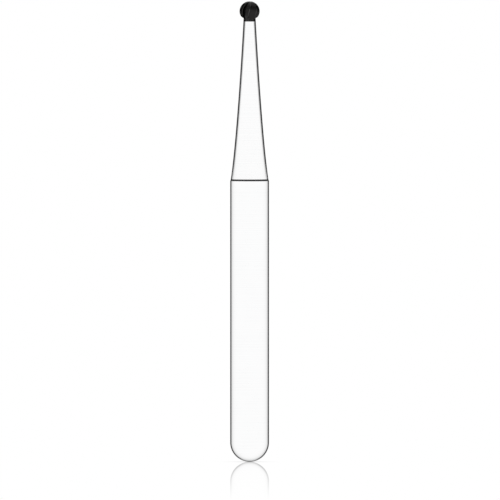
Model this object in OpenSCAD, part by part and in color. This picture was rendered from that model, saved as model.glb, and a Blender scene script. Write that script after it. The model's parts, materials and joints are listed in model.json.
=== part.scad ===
// Dental round burr: a fluted tungsten carbide ball joined to a turned steel neck and shank.
// The axis of rotation is z. z = 0 is the shoulder, where the neck meets the shank, and the ball is at +z.
// Sizes are in millimetres and angles in degrees.

/* [Shank] */
// Diameter of the straight shank that the chuck grips
shank_d = 1.6; // [1.2:0.05:2.4]
// Length from the shoulder to the end of the rounded tip
shank_l = 11.58; // [6:0.02:20]
// How far the ground neck sits below the shank's surface at the shoulder
shoulder_step = 0.025; // [0.005:0.005:0.04]
// Height of the fine bevel that breaks the shoulder's edge
shoulder_bevel = 0.075; // [0.02:0.005:0.1]

/* [Neck] */
// Length of the steel neck, from the shoulder to the joint under the ball
neck_l = 6.58; // [4:0.02:10]
// Diameter of the neck at the joint under the ball
neck_tip_d = 0.51; // [0.4:0.01:0.6]
// Half angle of the neck at its thin end
neck_taper = 3.25; // [1:0.05:3.5]
// Height above the shoulder at which the neck bends from its taper into its flare
neck_bend = 1.9; // [1:0.1:3]

/* [Carbide head] */
// Diameter of the ball over its cutting edges
head_d = 0.83; // [0.7:0.01:1.4]
// Length of unfluted carbide between the joint and the ball
stub_l = 0.09; // [0.02:0.01:0.4]
// Number of cutting blades
blades = 8; // [6:1:10]
// Slant of the cutting edges against the axis, at the ball's equator
helix = 14; // [5:1:20]
// Rake angle of the cutting faces, where a positive one is undercut
rake = 8; // [-5:1:10]
// Depth of the flutes at the equator, measured along the cutting face
flute_depth = 0.1; // [0.06:0.005:0.12]
// Angle from the equator at which the flutes run out towards the tip
flute_reach = 82; // [70:1:84]
// Width of the narrow land left behind each cutting edge
land = 0.025; // [0.01:0.005:0.05]

/* [Hidden] */
$fn = 72;

shank_r = shank_d / 2;
neck_base_r = shank_r - shoulder_step;
neck_tip_r = neck_tip_d / 2;
head_r = head_d / 2;

// The neck's outline is a parabola. It starts along the taper and bends out to the shoulder at neck_bend.
neck_steps = 12;
bend_r = neck_tip_r + tan(neck_taper) * (neck_l - neck_bend);

// The ball's centre lies where its surface meets the top of the stub, whose core runs up to that centre.
stub_r = neck_tip_r - tan(neck_taper) * stub_l;
ball_z = neck_l + stub_l + sqrt(head_r * head_r - stub_r * stub_r);
core_h = ball_z - neck_l;

// Each flute is ground by a dished wheel.
// Its rim passes the equator at the depth of the flute and leaves the ball at flute_reach.
face_r = head_r * cos(rake);
floor_r = face_r - flute_depth;
wheel_offset = (face_r * face_r - floor_r * floor_r) / (2 * (floor_r - face_r * cos(flute_reach)));
wheel_r = floor_r + wheel_offset;
wheel_rim = head_r;

// The wheel's slanted side runs from the foot of one blade to the heel of the land ahead of it.
heel_a = 360 / blades * cos(helix) - land / head_r * 180 / PI;
heel_x = head_r * cos(heel_a) - head_r + flute_depth * cos(rake);
heel_y = head_r * sin(heel_a) + flute_depth * sin(rake);
back_rise = heel_x * cos(rake) + heel_y * sin(rake);
back_run = heel_y * cos(rake) - heel_x * sin(rake);
overcut = 1.25;

function neck_curve(t, foot, bend, tip) = (1 - t) * (1 - t) * foot + 2 * t * (1 - t) * bend + t * t * tip;

function neck_point(t) = [
    neck_curve(t, neck_base_r, bend_r, neck_tip_r),
    neck_curve(t, shoulder_bevel, neck_bend, neck_l)
];

module flute_wheel() {
    rotate_extrude()
        polygon([
            [wheel_r, 0],
            [wheel_r + wheel_rim, 0],
            [wheel_r + wheel_rim, overcut * back_run],
            [wheel_r + overcut * back_rise, overcut * back_run]
        ]);
}

module flute_cuts() {
    for (i = [0 : blades - 1])
        rotate([0, 0, 360 / blades * i])
            rotate([-90 - helix, 0, 0])
                translate([head_r, 0, 0])
                    rotate([0, -rake, 0])
                        translate([-flute_depth - wheel_r, 0, 0])
                            flute_wheel();
}

module cutting_head() {
    color([0.14, 0.13, 0.13])
        union() {
            translate([0, 0, ball_z])
                difference() {
                    sphere(r = head_r);
                    flute_cuts();
                }
            translate([0, 0, neck_l])
                cylinder(h = core_h, r1 = neck_tip_r, r2 = neck_tip_r - tan(neck_taper) * core_h);
        }
}

module shank_outline() {
    polygon(concat(
        [[0, neck_l], [0, 0], [shank_r, 0]],
        [for (i = [0 : neck_steps]) neck_point(i / neck_steps)]
    ));
    translate([0, shank_r - shank_l])
        square([shank_r, shank_l - shank_r]);
    intersection() {
        translate([0, shank_r - shank_l])
            circle(r = shank_r);
        translate([0, -shank_l])
            square([shank_r, shank_r]);
    }
}

module shank() {
    color([0.83, 0.84, 0.85])
        rotate_extrude()
            shank_outline();
}

cutting_head();
shank();
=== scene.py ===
"""A friction-grip round burr, upright on a pale floor that mirrors it faintly.

The two finer meshes made here stand for the two CAD solids and keep their form. Lengths are in millimetres,
or in metres where a name ends in _M, and each mesh is scaled to metres once it is made.
"""

import json
import math

import bmesh
import bpy
from mathutils import Matrix, Vector


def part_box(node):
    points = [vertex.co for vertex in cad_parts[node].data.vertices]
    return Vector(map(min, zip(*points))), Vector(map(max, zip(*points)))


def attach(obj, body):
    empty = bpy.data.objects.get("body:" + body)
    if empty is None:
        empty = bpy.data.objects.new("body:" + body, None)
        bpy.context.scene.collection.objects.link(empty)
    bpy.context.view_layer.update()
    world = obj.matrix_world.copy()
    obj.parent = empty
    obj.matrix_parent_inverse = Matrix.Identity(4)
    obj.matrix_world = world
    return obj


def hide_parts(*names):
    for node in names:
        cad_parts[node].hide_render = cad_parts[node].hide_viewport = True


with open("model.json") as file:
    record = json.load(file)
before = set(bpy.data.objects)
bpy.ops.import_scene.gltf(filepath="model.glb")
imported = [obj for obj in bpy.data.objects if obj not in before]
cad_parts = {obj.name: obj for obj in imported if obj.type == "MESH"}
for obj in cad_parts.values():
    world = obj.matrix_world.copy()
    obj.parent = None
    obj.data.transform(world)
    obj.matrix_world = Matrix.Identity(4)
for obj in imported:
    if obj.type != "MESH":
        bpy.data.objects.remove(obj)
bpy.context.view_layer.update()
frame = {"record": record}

MM = 0.001

# The steel piece: the radius and the ends come from the frame, and the rest is as in the part's source
shank_low, shank_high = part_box("shank")
SHANK_R = frame["record"]["mounts"][0]["dims"]["r_mm"]
TIP_Z = shank_low.z / MM
JOINT_Z = shank_high.z / MM
SHOULDER_STEP = 0.025
SHOULDER_BEVEL = 0.075
NECK_TIP_R = 0.255
NECK_TAPER = math.radians(3.25)
NECK_BEND = 1.9

# The carbide head
HEAD_R = 0.415
STUB_L = 0.09
BLADES = 8
HELIX = math.radians(14)
RAKE = math.radians(8)
FLUTE_DEPTH = 0.1
FLUTE_REACH = math.radians(82)
LAND = 0.025
OVERCUT = 1.25

# How finely the meshes follow their curves, and the angles from which an edge is shaded as an edge
LATHE_SIDES = 192
NECK_RINGS = 48
ROUND_RINGS = 40
SHANK_RINGS = 24
BALL_SIDES = 192
WHEEL_SIDES = 360
SHANK_CREASE = math.radians(5)
HEAD_CREASE = math.radians(22)

# What counts as a sliver after the flutes are cut, and the share of the ball's radius from which a face is land
SLIVER = 0.0005
LAND_FROM = 0.999

# The picture: level with the burr but for one degree, and framed as the drawing is
PIXELS = 500
PIXELS_PER_MM = 24.25
AXIS_PX = 249.6
SHOULDER_PX = 181.0
CAMERA_TILT = math.radians(1)
CAMERA_AWAY_M = 0.2

# The softboxes' distance from the head
LAMP_AWAY_M = 0.06

# The floor's disc, and its contact shadow's reach and darkest level
FLOOR_R_M = 0.15
FLOOR_SIDES = 128
SHADOW_REACH = 0.9
SHADOW_LEVEL = 0.5

# The floor's mirror: its strength, its refractive index, and the distances from the origin between which it
# fades. The first is below zero, so that the mirror is already weaker under the foot.
MIRROR_SHARE = 0.9
MIRROR_IOR = 1.5
MIRROR_FROM = -60
MIRROR_TO = 100

# The black flag far behind, which the polished shank mirrors as a dark line along each edge: how far off
# straight back it reaches, how far that is solid and how far soft, as shares of the reach, and its shade
FLAG_REACH = math.radians(39)
FLAG_CORE = 0.8
FLAG_SOFT = 1.22
FLAG_SHADE = 0.07

# The neck's own flag, curved round it: its radius, the width of the line that it draws, how far it goes on
# above the neck, and its mesh
NECK_FLAG_R = 12
NECK_LINE = 1.85 / PIXELS_PER_MM
NECK_FLAG_ABOVE = 3
NECK_FLAG_ROWS = 24
NECK_FLAG_COLUMNS = 48

# The white slot straight behind, cut in the flags and the hood: how far off straight back it is clear, and
# where it ends. From the front it falls on the outermost hair of the edge lines. From the sides it parts the
# flags' one broad dark streak along the steel into two thin ones.
SLOT_CLEAR = math.radians(10)
SLOT_END = math.radians(22)

# The black hood overhead, which draws the line of the shoulder's bevel: the slope of a face turned to the
# camera from which the face mirrors it, the slope from which it is solid, and the heights where it ends
HOOD_FROM = math.radians(10.8)
HOOD_SOLID = math.radians(14.03)
HOOD_TOP = math.radians(56)
HOOD_TOP_SOFT = math.radians(66)
HOOD_SHADE = 0.012

# The tones that the finishes and the painted light run between, and the steel's edge tint
STEEL_TONES = ((0.945, 0.947, 0.951, 1), (0.99, 0.99, 0.991, 1))
# The bevel's tones, far darker than its steel, are painted shade that draws the shoulder's line
BEVEL_SHADE_TONES = ((0.3, 0.3, 0.303, 1), (0.42, 0.42, 0.424, 1))
# The flutes' darker and the lands' lighter tones are painted shade in the hollows and a painted highlight on the
# blades
FLUTE_SHADE_TONES = ((0.018, 0.017, 0.017, 1), (0.032, 0.03, 0.03, 1))
LAND_HIGHLIGHT_TONES = ((0.05, 0.048, 0.048, 1), (0.085, 0.08, 0.08, 1))
STEEL_CLOUD = (0.982, 0.983, 0.984, 1)
STEEL_EDGE = (0.08, 0.08, 0.08, 1)

# The textures: the size and strength of the steel's clouds, the size of the carbide's wheel marks, how far
# they are drawn out along the axis, the size of its grain, and the height of the relief on both metals
CLOUD_SIZE = 0.7
CLOUD_SHARE = 0.6
MARK_SIZE = 0.02
MARK_STRETCH = 0.12
GRAIN_SIZE = 0.006
RELIEF = 0.001


def scaled_object(name, mesh):
    """The mesh as an object of the scene, brought from millimetres to metres."""
    mesh.transform(Matrix.Scale(MM, 4))
    piece = bpy.data.objects.new(name, mesh)
    bpy.context.scene.collection.objects.link(piece)
    return piece


def lathe_mesh(name, outline, sides, closed=False):
    """A turned mesh. outline is (radius, height) points; closed joins the last ring to the first, and otherwise
    the outline starts and ends on the axis."""
    turns = [(math.cos(2 * math.pi * i / sides), math.sin(2 * math.pi * i / sides)) for i in range(sides)]
    rings = outline if closed else outline[1:-1]
    points = [(r * c, r * s, z) for r, z in rings for c, s in turns]
    faces = []
    for ring in range(len(rings) if closed else len(rings) - 1):
        low, high = ring * sides, (ring + 1) % len(rings) * sides
        for i in range(sides):
            j = (i + 1) % sides
            faces.append((low + i, low + j, high + j, high + i))
    if not closed:
        bottom, top = len(points), len(points) + 1
        points += [(0, 0, outline[0][1]), (0, 0, outline[-1][1])]
        last = (len(rings) - 1) * sides
        for i in range(sides):
            j = (i + 1) % sides
            faces.append((bottom, j, i))
            faces.append((top, last + i, last + j))
    mesh = bpy.data.meshes.new(name)
    mesh.from_pydata(points, [], faces)
    mesh.validate()
    return mesh


def smooth_but_for_edges(mesh, crease):
    """Smooth shading that stops at edges sharper than crease."""
    mesh.shade_smooth()
    mesh.set_sharp_from_angle(angle=crease)


def neck_at(t):
    """Radius, height and slope of the neck's surface, at t from 0 at the bevel to 1 at the joint."""
    foot_r = SHANK_R - SHOULDER_STEP
    bend_r = NECK_TIP_R + math.tan(NECK_TAPER) * (JOINT_Z - NECK_BEND)
    near, mid, far = (1 - t) ** 2, 2 * t * (1 - t), t * t
    radius = near * foot_r + mid * bend_r + far * NECK_TIP_R
    height = near * SHOULDER_BEVEL + mid * NECK_BEND + far * JOINT_Z
    inward = (1 - t) * (foot_r - bend_r) + t * (bend_r - NECK_TIP_R)
    upward = (1 - t) * (NECK_BEND - SHOULDER_BEVEL) + t * (JOINT_Z - NECK_BEND)
    return radius, height, math.atan2(inward, upward)


def shank_outline():
    """The steel piece's outline, from its rounded tip up to the joint face."""
    centre_z = TIP_Z + SHANK_R
    quarter = [math.pi / 2 * i / ROUND_RINGS for i in range(ROUND_RINGS + 1)]
    outline = [(SHANK_R * math.sin(a), centre_z - SHANK_R * math.cos(a)) for a in quarter]
    outline += [(SHANK_R, centre_z * (1 - i / SHANK_RINGS)) for i in range(1, SHANK_RINGS + 1)]
    outline += [neck_at(i / NECK_RINGS)[:2] for i in range(NECK_RINGS + 1)]
    outline.append((0, JOINT_Z))
    return outline


def flute_wheel():
    """The dished wheel that grinds the flutes, and where it is set against the ball for each of them."""
    face_r = HEAD_R * math.cos(RAKE)
    floor_r = face_r - FLUTE_DEPTH
    away = (face_r**2 - floor_r**2) / (2 * (floor_r - face_r * math.cos(FLUTE_REACH)))
    wheel_r = floor_r + away
    heel = 2 * math.pi / BLADES * math.cos(HELIX) - LAND / HEAD_R
    heel_x = HEAD_R * math.cos(heel) - HEAD_R + FLUTE_DEPTH * math.cos(RAKE)
    heel_y = HEAD_R * math.sin(heel) + FLUTE_DEPTH * math.sin(RAKE)
    rise = heel_x * math.cos(RAKE) + heel_y * math.sin(RAKE)
    run = heel_y * math.cos(RAKE) - heel_x * math.sin(RAKE)
    rim = [
        (wheel_r, 0),
        (wheel_r + HEAD_R, 0),
        (wheel_r + HEAD_R, OVERCUT * run),
        (wheel_r + OVERCUT * rise, OVERCUT * run),
    ]
    placements = [
        Matrix.Rotation(2 * math.pi * i / BLADES, 4, "Z")
        @ Matrix.Rotation(-math.pi / 2 - HELIX, 4, "X")
        @ Matrix.Translation((HEAD_R, 0, 0))
        @ Matrix.Rotation(-RAKE, 4, "Y")
        @ Matrix.Translation((-FLUTE_DEPTH - wheel_r, 0, 0))
        for i in range(BLADES)
    ]
    return lathe_mesh("flute_wheel", rim, WHEEL_SIDES, closed=True), placements


def combined(base, other, operation):
    """The mesh of base after an exact boolean with other. Both of these meshes are used up."""
    work = bpy.data.objects.new("work", base)
    tool = bpy.data.objects.new("tool", other)
    for item in (work, tool):
        bpy.context.scene.collection.objects.link(item)
    cut = work.modifiers.new("cut", "BOOLEAN")
    cut.operation, cut.solver, cut.object = operation, "EXACT", tool
    shaped = bpy.data.meshes.new_from_object(work.evaluated_get(bpy.context.evaluated_depsgraph_get()))
    for item in (work, tool):
        mesh = item.data
        bpy.data.objects.remove(item)
        bpy.data.meshes.remove(mesh)
    return shaped


def clean(mesh, slack):
    """Merges the points and drops the slivers that a boolean leaves closer than slack."""
    bm = bmesh.new()
    bm.from_mesh(mesh)
    bmesh.ops.remove_doubles(bm, verts=bm.verts, dist=slack)
    bmesh.ops.dissolve_degenerate(bm, edges=bm.edges, dist=slack)
    bmesh.ops.triangulate(bm, faces=[f for f in bm.faces if len(f.verts) > 4], ngon_method="BEAUTY")
    bm.to_mesh(mesh)
    bm.free()


def head_mesh():
    """The ball with its flutes ground out and its stub joined on, and the height of the ball's centre."""
    stub_r = NECK_TIP_R - math.tan(NECK_TAPER) * STUB_L
    ball_z = JOINT_Z + STUB_L + math.sqrt(HEAD_R**2 - stub_r**2)
    half = [math.pi * i / (BALL_SIDES // 2) for i in range(BALL_SIDES // 2 + 1)]
    ball = lathe_mesh("ball", [(HEAD_R * math.sin(a), -HEAD_R * math.cos(a)) for a in half], BALL_SIDES)
    wheel, placements = flute_wheel()
    for place in placements:
        cutter = wheel.copy()
        cutter.transform(place)
        ball = combined(ball, cutter, "DIFFERENCE")
    core_h = ball_z - JOINT_Z
    core_r = NECK_TIP_R - math.tan(NECK_TAPER) * core_h
    core = lathe_mesh("core", [(0, -core_h), (NECK_TIP_R, -core_h), (core_r, 0), (0, 0)], BALL_SIDES)
    ball = combined(ball, core, "UNION")
    clean(ball, SLIVER)
    ball.transform(Matrix.Translation((0, 0, ball_z)))
    bpy.data.meshes.remove(wheel)
    return ball, ball_z


def emptied(owner):
    """A material's or the world's node tree, emptied: the calls that add a node and link two sockets."""
    owner.use_nodes = True
    tree = owner.node_tree
    tree.nodes.clear()
    return tree.nodes.new, tree.links.new


def finish_material(name):
    """A metal with only a Principled shader and its output: (material, shader, add, link)."""
    material = bpy.data.materials.new(name)
    add, link = emptied(material)
    shader = add("ShaderNodeBsdfPrincipled")
    shader.inputs["Metallic"].default_value = 1.0
    link(shader.outputs["BSDF"], add("ShaderNodeOutputMaterial").inputs["Surface"])
    return material, shader, add, link


def grey(level):
    """The colour of that level."""
    return level, level, level, 1


def worked(add, link, operation, *terms, clamp=False):
    """The result of a Math node. Each term is a number or a socket."""
    node = add("ShaderNodeMath")
    node.operation = operation
    node.use_clamp = clamp
    for socket, term in zip(node.inputs, terms):
        if isinstance(term, (int, float)):
            socket.default_value = term
        else:
            link(term, socket)
    return node.outputs["Value"]


def mixed(add, link, share, a, b):
    """A colour between a and b. Each is a colour or a socket."""
    node = add("ShaderNodeMix")
    node.data_type = "RGBA"
    link(share, node.inputs["Factor"])
    for name, colour in (("A", a), ("B", b)):
        if isinstance(colour, tuple):
            node.inputs[name].default_value = colour
        else:
            link(colour, node.inputs[name])
    return node.outputs["Result"]


def mapped(add, link, source, low, high, start=0.3, end=0.7):
    """source, which runs from start to end, brought smoothly to the range from low to high. Left as they are,
    start and end are what most of a noise lies between."""
    node = add("ShaderNodeMapRange")
    node.interpolation_type = "SMOOTHSTEP"
    node.inputs["From Min"].default_value = start
    node.inputs["From Max"].default_value = end
    node.inputs["To Min"].default_value = low
    node.inputs["To Max"].default_value = high
    link(source, node.inputs["Value"])
    return node.outputs["Result"]


def noise(add, link, place, size, detail):
    """Noise with features of the given size in millimetres."""
    node = add("ShaderNodeTexNoise")
    node.inputs["Scale"].default_value = 1 / (size * MM)
    node.inputs["Detail"].default_value = detail
    link(place, node.inputs["Vector"])
    return node.outputs["Fac"]


def raised(add, link, shader, height, strength):
    """Gives the shader a fine relief."""
    node = add("ShaderNodeBump")
    node.inputs["Strength"].default_value = strength
    node.inputs["Distance"].default_value = RELIEF * MM
    link(height, node.inputs["Height"])
    link(node.outputs["Normal"], shader.inputs["Normal"])


def layered(add, link, share, under, over):
    """The shader under with share of the shader over laid on it."""
    node = add("ShaderNodeMixShader")
    link(share, node.inputs["Fac"])
    link(under, node.inputs[1])
    link(over, node.inputs[2])
    return node.outputs["Shader"]


def ground_steel(name, tones, line_mm, roughness, bump, cloudy=True):
    """Steel with fine grinding lines that run round it, line_mm apart. Its near-black edge tint gives polished
    metal its thin dark rim."""
    material, shader, add, link = finish_material(name)
    shader.inputs["Specular Tint"].default_value = STEEL_EDGE
    place = add("ShaderNodeTexCoord").outputs["Object"]

    height = add("ShaderNodeSeparateXYZ")
    link(place, height.inputs["Vector"])
    lines = add("ShaderNodeTexNoise")
    lines.noise_dimensions = "1D"
    lines.inputs["Scale"].default_value = 1.0
    lines.inputs["Detail"].default_value = 3.0
    link(worked(add, link, "MULTIPLY", height.outputs["Z"], 1 / (line_mm * MM)), lines.inputs["W"])

    colour = mixed(add, link, mapped(add, link, lines.outputs["Fac"], 0, 1), *tones)
    if cloudy:
        cloud = noise(add, link, place, CLOUD_SIZE, detail=4.0)
        colour = mixed(add, link, mapped(add, link, cloud, 0, CLOUD_SHARE), colour, STEEL_CLOUD)
    link(colour, shader.inputs["Base Color"])
    link(mapped(add, link, lines.outputs["Fac"], *roughness), shader.inputs["Roughness"])
    raised(add, link, shader, lines.outputs["Fac"], bump)
    return material


def ground_carbide(name, tones, roughness):
    """Near-black sintered carbide: a fine grain, with wheel marks drawn out along the axis."""
    material, shader, add, link = finish_material(name)
    place = add("ShaderNodeTexCoord").outputs["Object"]
    stretch = add("ShaderNodeMapping")
    stretch.inputs["Scale"].default_value = (1, 1, MARK_STRETCH)
    link(place, stretch.inputs["Vector"])
    marks = noise(add, link, stretch.outputs["Vector"], MARK_SIZE, detail=3.0)
    grain = noise(add, link, place, GRAIN_SIZE, detail=2.0)
    link(mixed(add, link, marks, *tones), shader.inputs["Base Color"])
    link(mapped(add, link, grain, *roughness), shader.inputs["Roughness"])
    raised(add, link, shader, marks, strength=0.3)
    return material


def make_shank():
    """The steel piece. The shank has the finest finish, the bevel a duller one, its tones darkened as painted
    shade that draws the shoulder's line, and the neck's is between.
    """
    mesh = lathe_mesh("ground_shank", shank_outline(), LATHE_SIDES)
    smooth_but_for_edges(mesh, SHANK_CREASE)
    for finish in (
        ground_steel("ground_shank", STEEL_TONES, line_mm=0.03, roughness=(0.06, 0.12), bump=0.15),
        # The bevel's dark tones are painted shade, which draws the shoulder's line
        ground_steel("bevel_painted_shade", BEVEL_SHADE_TONES, line_mm=0.015, roughness=(0.2, 0.3), bump=0.3, cloudy=False),
        ground_steel("ground_neck", STEEL_TONES, line_mm=0.05, roughness=(0.08, 0.15), bump=0.2),
    ):
        mesh.materials.append(finish)
    for face in mesh.polygons:
        face.material_index = int(face.center.z > 0) + int(face.center.z > SHOULDER_BEVEL)
    piece = scaled_object("ground_shank", mesh)
    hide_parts("shank")
    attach(piece, "root")


def make_head():
    """The carbide head. The lands, which are what is left of the ball's own surface, shine a little more, and
    their tones are painted lighter than the flutes': a painted highlight on the blades, and painted shade in the
    flutes.
    """
    mesh, ball_z = head_mesh()
    smooth_but_for_edges(mesh, HEAD_CREASE)
    mesh.materials.clear()
    # The flutes are painted darker as shade, and the lands lighter as a highlight on the blades
    mesh.materials.append(ground_carbide("carbide_flutes_shaded", FLUTE_SHADE_TONES, roughness=(0.3, 0.42)))
    mesh.materials.append(ground_carbide("carbide_lands_highlit", LAND_HIGHLIGHT_TONES, roughness=(0.22, 0.32)))
    centre = Vector((0, 0, ball_z))
    for face in mesh.polygons:
        innermost = min((mesh.vertices[v].co - centre).length for v in face.vertices)
        face.material_index = int(innermost > HEAD_R * LAND_FROM)
    piece = scaled_object("fluted_head", mesh)
    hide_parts("cutting_head")
    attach(piece, "root")
    return piece


def floor_material():
    """White to the camera but for a soft contact shadow, with a weak mirror over it that fades with distance."""
    material = bpy.data.materials.new("floor")
    add, link = emptied(material)
    shade = add("ShaderNodeAmbientOcclusion")
    shade.samples = 16
    shade.inputs["Distance"].default_value = SHADOW_REACH * MM
    glow = add("ShaderNodeEmission")
    link(mapped(add, link, shade.outputs["AO"], SHADOW_LEVEL, 1, start=0, end=1), glow.inputs["Color"])
    matte = add("ShaderNodeBsdfDiffuse")
    matte.inputs["Color"].default_value = grey(0.8)
    to_camera = add("ShaderNodeLightPath").outputs["Is Camera Ray"]
    plain = layered(add, link, to_camera, matte.outputs["BSDF"], glow.outputs["Emission"])

    away = add("ShaderNodeVectorMath")
    away.operation = "LENGTH"
    link(add("ShaderNodeTexCoord").outputs["Object"], away.inputs[0])
    start, end = MIRROR_FROM * MM, MIRROR_TO * MM
    fade = mapped(add, link, away.outputs["Value"], MIRROR_SHARE, 0, start=start, end=end)
    gloss = add("ShaderNodeFresnel")
    gloss.inputs["IOR"].default_value = MIRROR_IOR
    mirror = add("ShaderNodeBsdfGlossy")
    mirror.inputs["Color"].default_value = grey(1)
    mirror.inputs["Roughness"].default_value = 0.0
    strength = worked(add, link, "MULTIPLY", fade, gloss.outputs["Fac"])
    surface = layered(add, link, strength, plain, mirror.outputs["BSDF"])
    link(surface, add("ShaderNodeOutputMaterial").inputs["Surface"])
    return material


def make_floor():
    """A disc at the height of the burr's tip, which the steel and carbide don't mirror."""
    turns = [2 * math.pi * i / FLOOR_SIDES for i in range(FLOOR_SIDES)]
    rim = [(FLOOR_R_M * math.cos(a), FLOOR_R_M * math.sin(a), TIP_Z * MM) for a in turns]
    mesh = bpy.data.meshes.new("floor")
    mesh.from_pydata(rim, [], [tuple(range(FLOOR_SIDES))])
    mesh.materials.append(floor_material())
    floor = bpy.data.objects.new("floor", mesh)
    bpy.context.scene.collection.objects.link(floor)
    floor.visible_glossy = False


def far_flag(add, link, back):
    """How much of the flag behind the burr a direction meets. back is 1 straight back."""
    start, end = math.cos(FLAG_REACH * FLAG_SOFT), math.cos(FLAG_REACH * FLAG_CORE)
    return mapped(add, link, back, 0, 1, start=start, end=end)


def outside_slot(add, link, back, up):
    """0 in the slot and 1 beside it, at any height."""
    flat = worked(add, link, "SQRT", worked(add, link, "SUBTRACT", 1, worked(add, link, "MULTIPLY", up, up)))
    facing = worked(add, link, "DIVIDE", back, flat)
    return mapped(add, link, facing, 1, 0, start=math.cos(SLOT_END), end=math.cos(SLOT_CLEAR))


def overhead_hood(add, link, back, up):
    """How much of the hood a direction meets. Its lower edge is the mirror image of one slope: a face turned
    anywhere to the camera that leans back by s mirrors an up of 2 sin(s) times the root of (1 - back) / 2."""
    front = worked(add, link, "MULTIPLY_ADD", back, -0.5, 0.5, clamp=True)
    lean = worked(add, link, "DIVIDE", up, worked(add, link, "SQRT", front))
    above = mapped(add, link, lean, 0, 1, start=2 * math.sin(HOOD_FROM), end=2 * math.sin(HOOD_SOLID))
    below = mapped(add, link, up, 1, 0, start=math.sin(HOOD_TOP), end=math.sin(HOOD_TOP_SOFT))
    return worked(add, link, "MULTIPLY", above, below)


def make_world():
    """A white studio with a black flag behind the burr, a black hood overhead and a white slot through both.
    Only blurred reflections show them, so neither the camera nor the floor's mirror does."""
    world = bpy.data.worlds.new("studio")
    bpy.context.scene.world = world
    world.cycles.sampling_method = "NONE"
    add, link = emptied(world)
    axes = add("ShaderNodeSeparateXYZ")
    link(add("ShaderNodeTexCoord").outputs["Generated"], axes.inputs["Vector"])
    back, up = axes.outputs["Y"], axes.outputs["Z"]
    beside = outside_slot(add, link, back, up)
    flag = worked(add, link, "MULTIPLY", beside, far_flag(add, link, back))
    hood = worked(add, link, "MULTIPLY", beside, overhead_hood(add, link, back, up))
    flagged = mixed(add, link, flag, grey(1), grey(FLAG_SHADE))
    hooded = mixed(add, link, hood, flagged, grey(HOOD_SHADE))

    seen = add("ShaderNodeLightPath")
    glossy, singular = seen.outputs["Is Glossy Ray"], seen.outputs["Is Singular Ray"]
    blurred = worked(add, link, "SUBTRACT", glossy, singular, clamp=True)
    background = add("ShaderNodeBackground")
    background.inputs["Strength"].default_value = 1.0
    link(mixed(add, link, blurred, grey(1), hooded), background.inputs["Color"])
    link(background.outputs["Background"], add("ShaderNodeOutputWorld").inputs["Surface"])


def ramp(value, start, end):
    """0 at start, 1 at end, and smooth between."""
    t = min(1, max(0, (value - start) / (end - start)))
    return t * t * (3 - 2 * t)


def neck_flag_edge(t):
    """How far round the neck's flag reaches, and at what height, for the line at t on the neck: where the ray
    goes that meets the neck at the inner edge of that line."""
    radius, height, slope = neck_at(t)
    side = math.asin(1 - NECK_LINE / radius)
    normal = Vector((math.sin(side) * math.cos(slope), -math.cos(side) * math.cos(slope), math.sin(slope)))
    ray = Vector((0, math.cos(CAMERA_TILT), -math.sin(CAMERA_TILT)))
    bounce = ray.reflect(normal)
    return math.atan2(bounce.x, bounce.y), height + NECK_FLAG_R * bounce.z / math.hypot(bounce.x, bounce.y)


def neck_flag_mesh():
    """The flag's curved sheet. Its attribute cover is 1 where the cloth is solid and 0 where it is clear."""
    edge = [neck_flag_edge(i / NECK_FLAG_ROWS) for i in range(NECK_FLAG_ROWS + 1)]
    edge.append((edge[-1][0], edge[-1][1] + NECK_FLAG_ABOVE))
    points, cover = [], []
    for reach, height in edge:
        for k in range(NECK_FLAG_COLUMNS + 1):
            share = FLAG_SOFT * (2 * k / NECK_FLAG_COLUMNS - 1)
            turn = reach * share
            points.append((NECK_FLAG_R * math.sin(turn), NECK_FLAG_R * math.cos(turn), height))
            cover.append(ramp(abs(share), FLAG_SOFT, FLAG_CORE) * ramp(abs(turn), SLOT_CLEAR, SLOT_END))
    row = NECK_FLAG_COLUMNS + 1
    starts = [i * row + k for i in range(len(edge) - 1) for k in range(NECK_FLAG_COLUMNS)]
    mesh = bpy.data.meshes.new("neck_flag")
    mesh.from_pydata(points, [], [(p, p + 1, p + row + 1, p + row) for p in starts])
    mesh.attributes.new("cover", "FLOAT", "POINT").data.foreach_set("value", cover)
    return mesh


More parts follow.
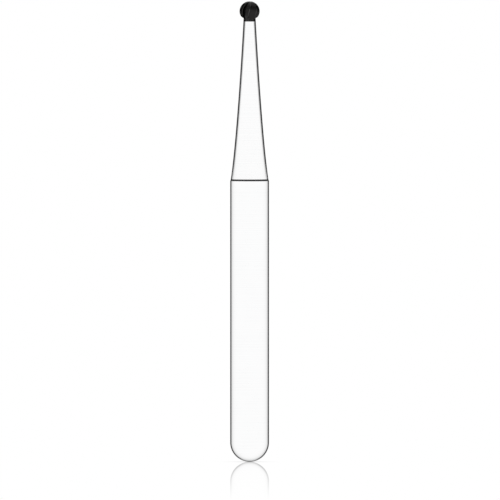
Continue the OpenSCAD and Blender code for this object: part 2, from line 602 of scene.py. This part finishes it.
def make_neck_flag():
    """A black flag close behind the neck. The thinner the neck, the wider it is, so that the dark line along the
    neck is as wide all the way up. Its sides are soft, and only blurred reflections show it."""
    material = bpy.data.materials.new("neck_flag")
    add, link = emptied(material)
    cloth = add("ShaderNodeEmission")
    cloth.inputs["Color"].default_value = grey(FLAG_SHADE)
    held = add("ShaderNodeAttribute")
    held.attribute_name = "cover"
    singular = add("ShaderNodeLightPath").outputs["Is Singular Ray"]
    shown = worked(add, link, "SUBTRACT", held.outputs["Fac"], singular, clamp=True)
    clear = add("ShaderNodeBsdfTransparent").outputs["BSDF"]
    surface = layered(add, link, shown, clear, cloth.outputs["Emission"])
    link(surface, add("ShaderNodeOutputMaterial").inputs["Surface"])

    mesh = neck_flag_mesh()
    mesh.materials.append(material)
    flag = scaled_object("neck_flag", mesh)
    flag.visible_camera = flag.visible_diffuse = flag.visible_transmission = flag.visible_shadow = False


def make_softbox(name, lit, azimuth, elevation, size, radiance):
    """A square lamp, placed by its direction in degrees from the head, that lights only the pieces in lit."""
    a, e = math.radians(azimuth), math.radians(elevation)
    away = Vector((math.sin(a) * math.cos(e), -math.cos(a) * math.cos(e), math.sin(e)))
    lamp = bpy.data.lights.new(name, "AREA")
    lamp.shape = "SQUARE"
    lamp.size = size
    lamp.energy = radiance * math.pi * size * size
    box = bpy.data.objects.new(name, lamp)
    box.location = Vector((0, 0, JOINT_Z * MM)) + away * LAMP_AWAY_M
    box.rotation_euler = away.to_track_quat("Z", "Y").to_euler()
    bpy.context.scene.collection.objects.link(box)
    box.light_linking.receiver_collection = lit


def make_head_lamps(head):
    """Softboxes that bring out the blades of the near-black head, kept off the bright steel."""
    lit = bpy.data.collections.new("lit_by_softboxes")
    lit.objects.link(head)
    make_softbox("key", lit, azimuth=-50, elevation=30, size=0.09, radiance=0.65)
    make_softbox("fill", lit, azimuth=60, elevation=25, size=0.05, radiance=0.55)
    make_softbox("back", lit, azimuth=190, elevation=50, size=0.08, radiance=0.8)


def make_camera():
    """A parallel view at the drawing's scale."""
    camera = bpy.data.cameras.new("camera")
    camera.type = "ORTHO"
    camera.ortho_scale = PIXELS / PIXELS_PER_MM * MM
    camera.clip_start = 0.001
    camera.clip_end = 2.0
    eye = bpy.data.objects.new("camera", camera)
    bpy.context.scene.collection.objects.link(eye)
    across = (PIXELS / 2 - AXIS_PX) / PIXELS_PER_MM * MM
    above = (SHOULDER_PX - PIXELS / 2) / PIXELS_PER_MM * MM
    back = Vector((0, -math.cos(CAMERA_TILT), math.sin(CAMERA_TILT)))
    eye.location = Vector((across, 0, above)) + back * CAMERA_AWAY_M
    eye.rotation_euler = back.to_track_quat("Z", "Y").to_euler()
    bpy.context.scene.camera = eye
    bpy.context.scene.view_settings.view_transform = "Standard"


make_camera()
make_shank()
head = make_head()
make_floor()
make_world()
make_neck_flag()
make_head_lamps(head)
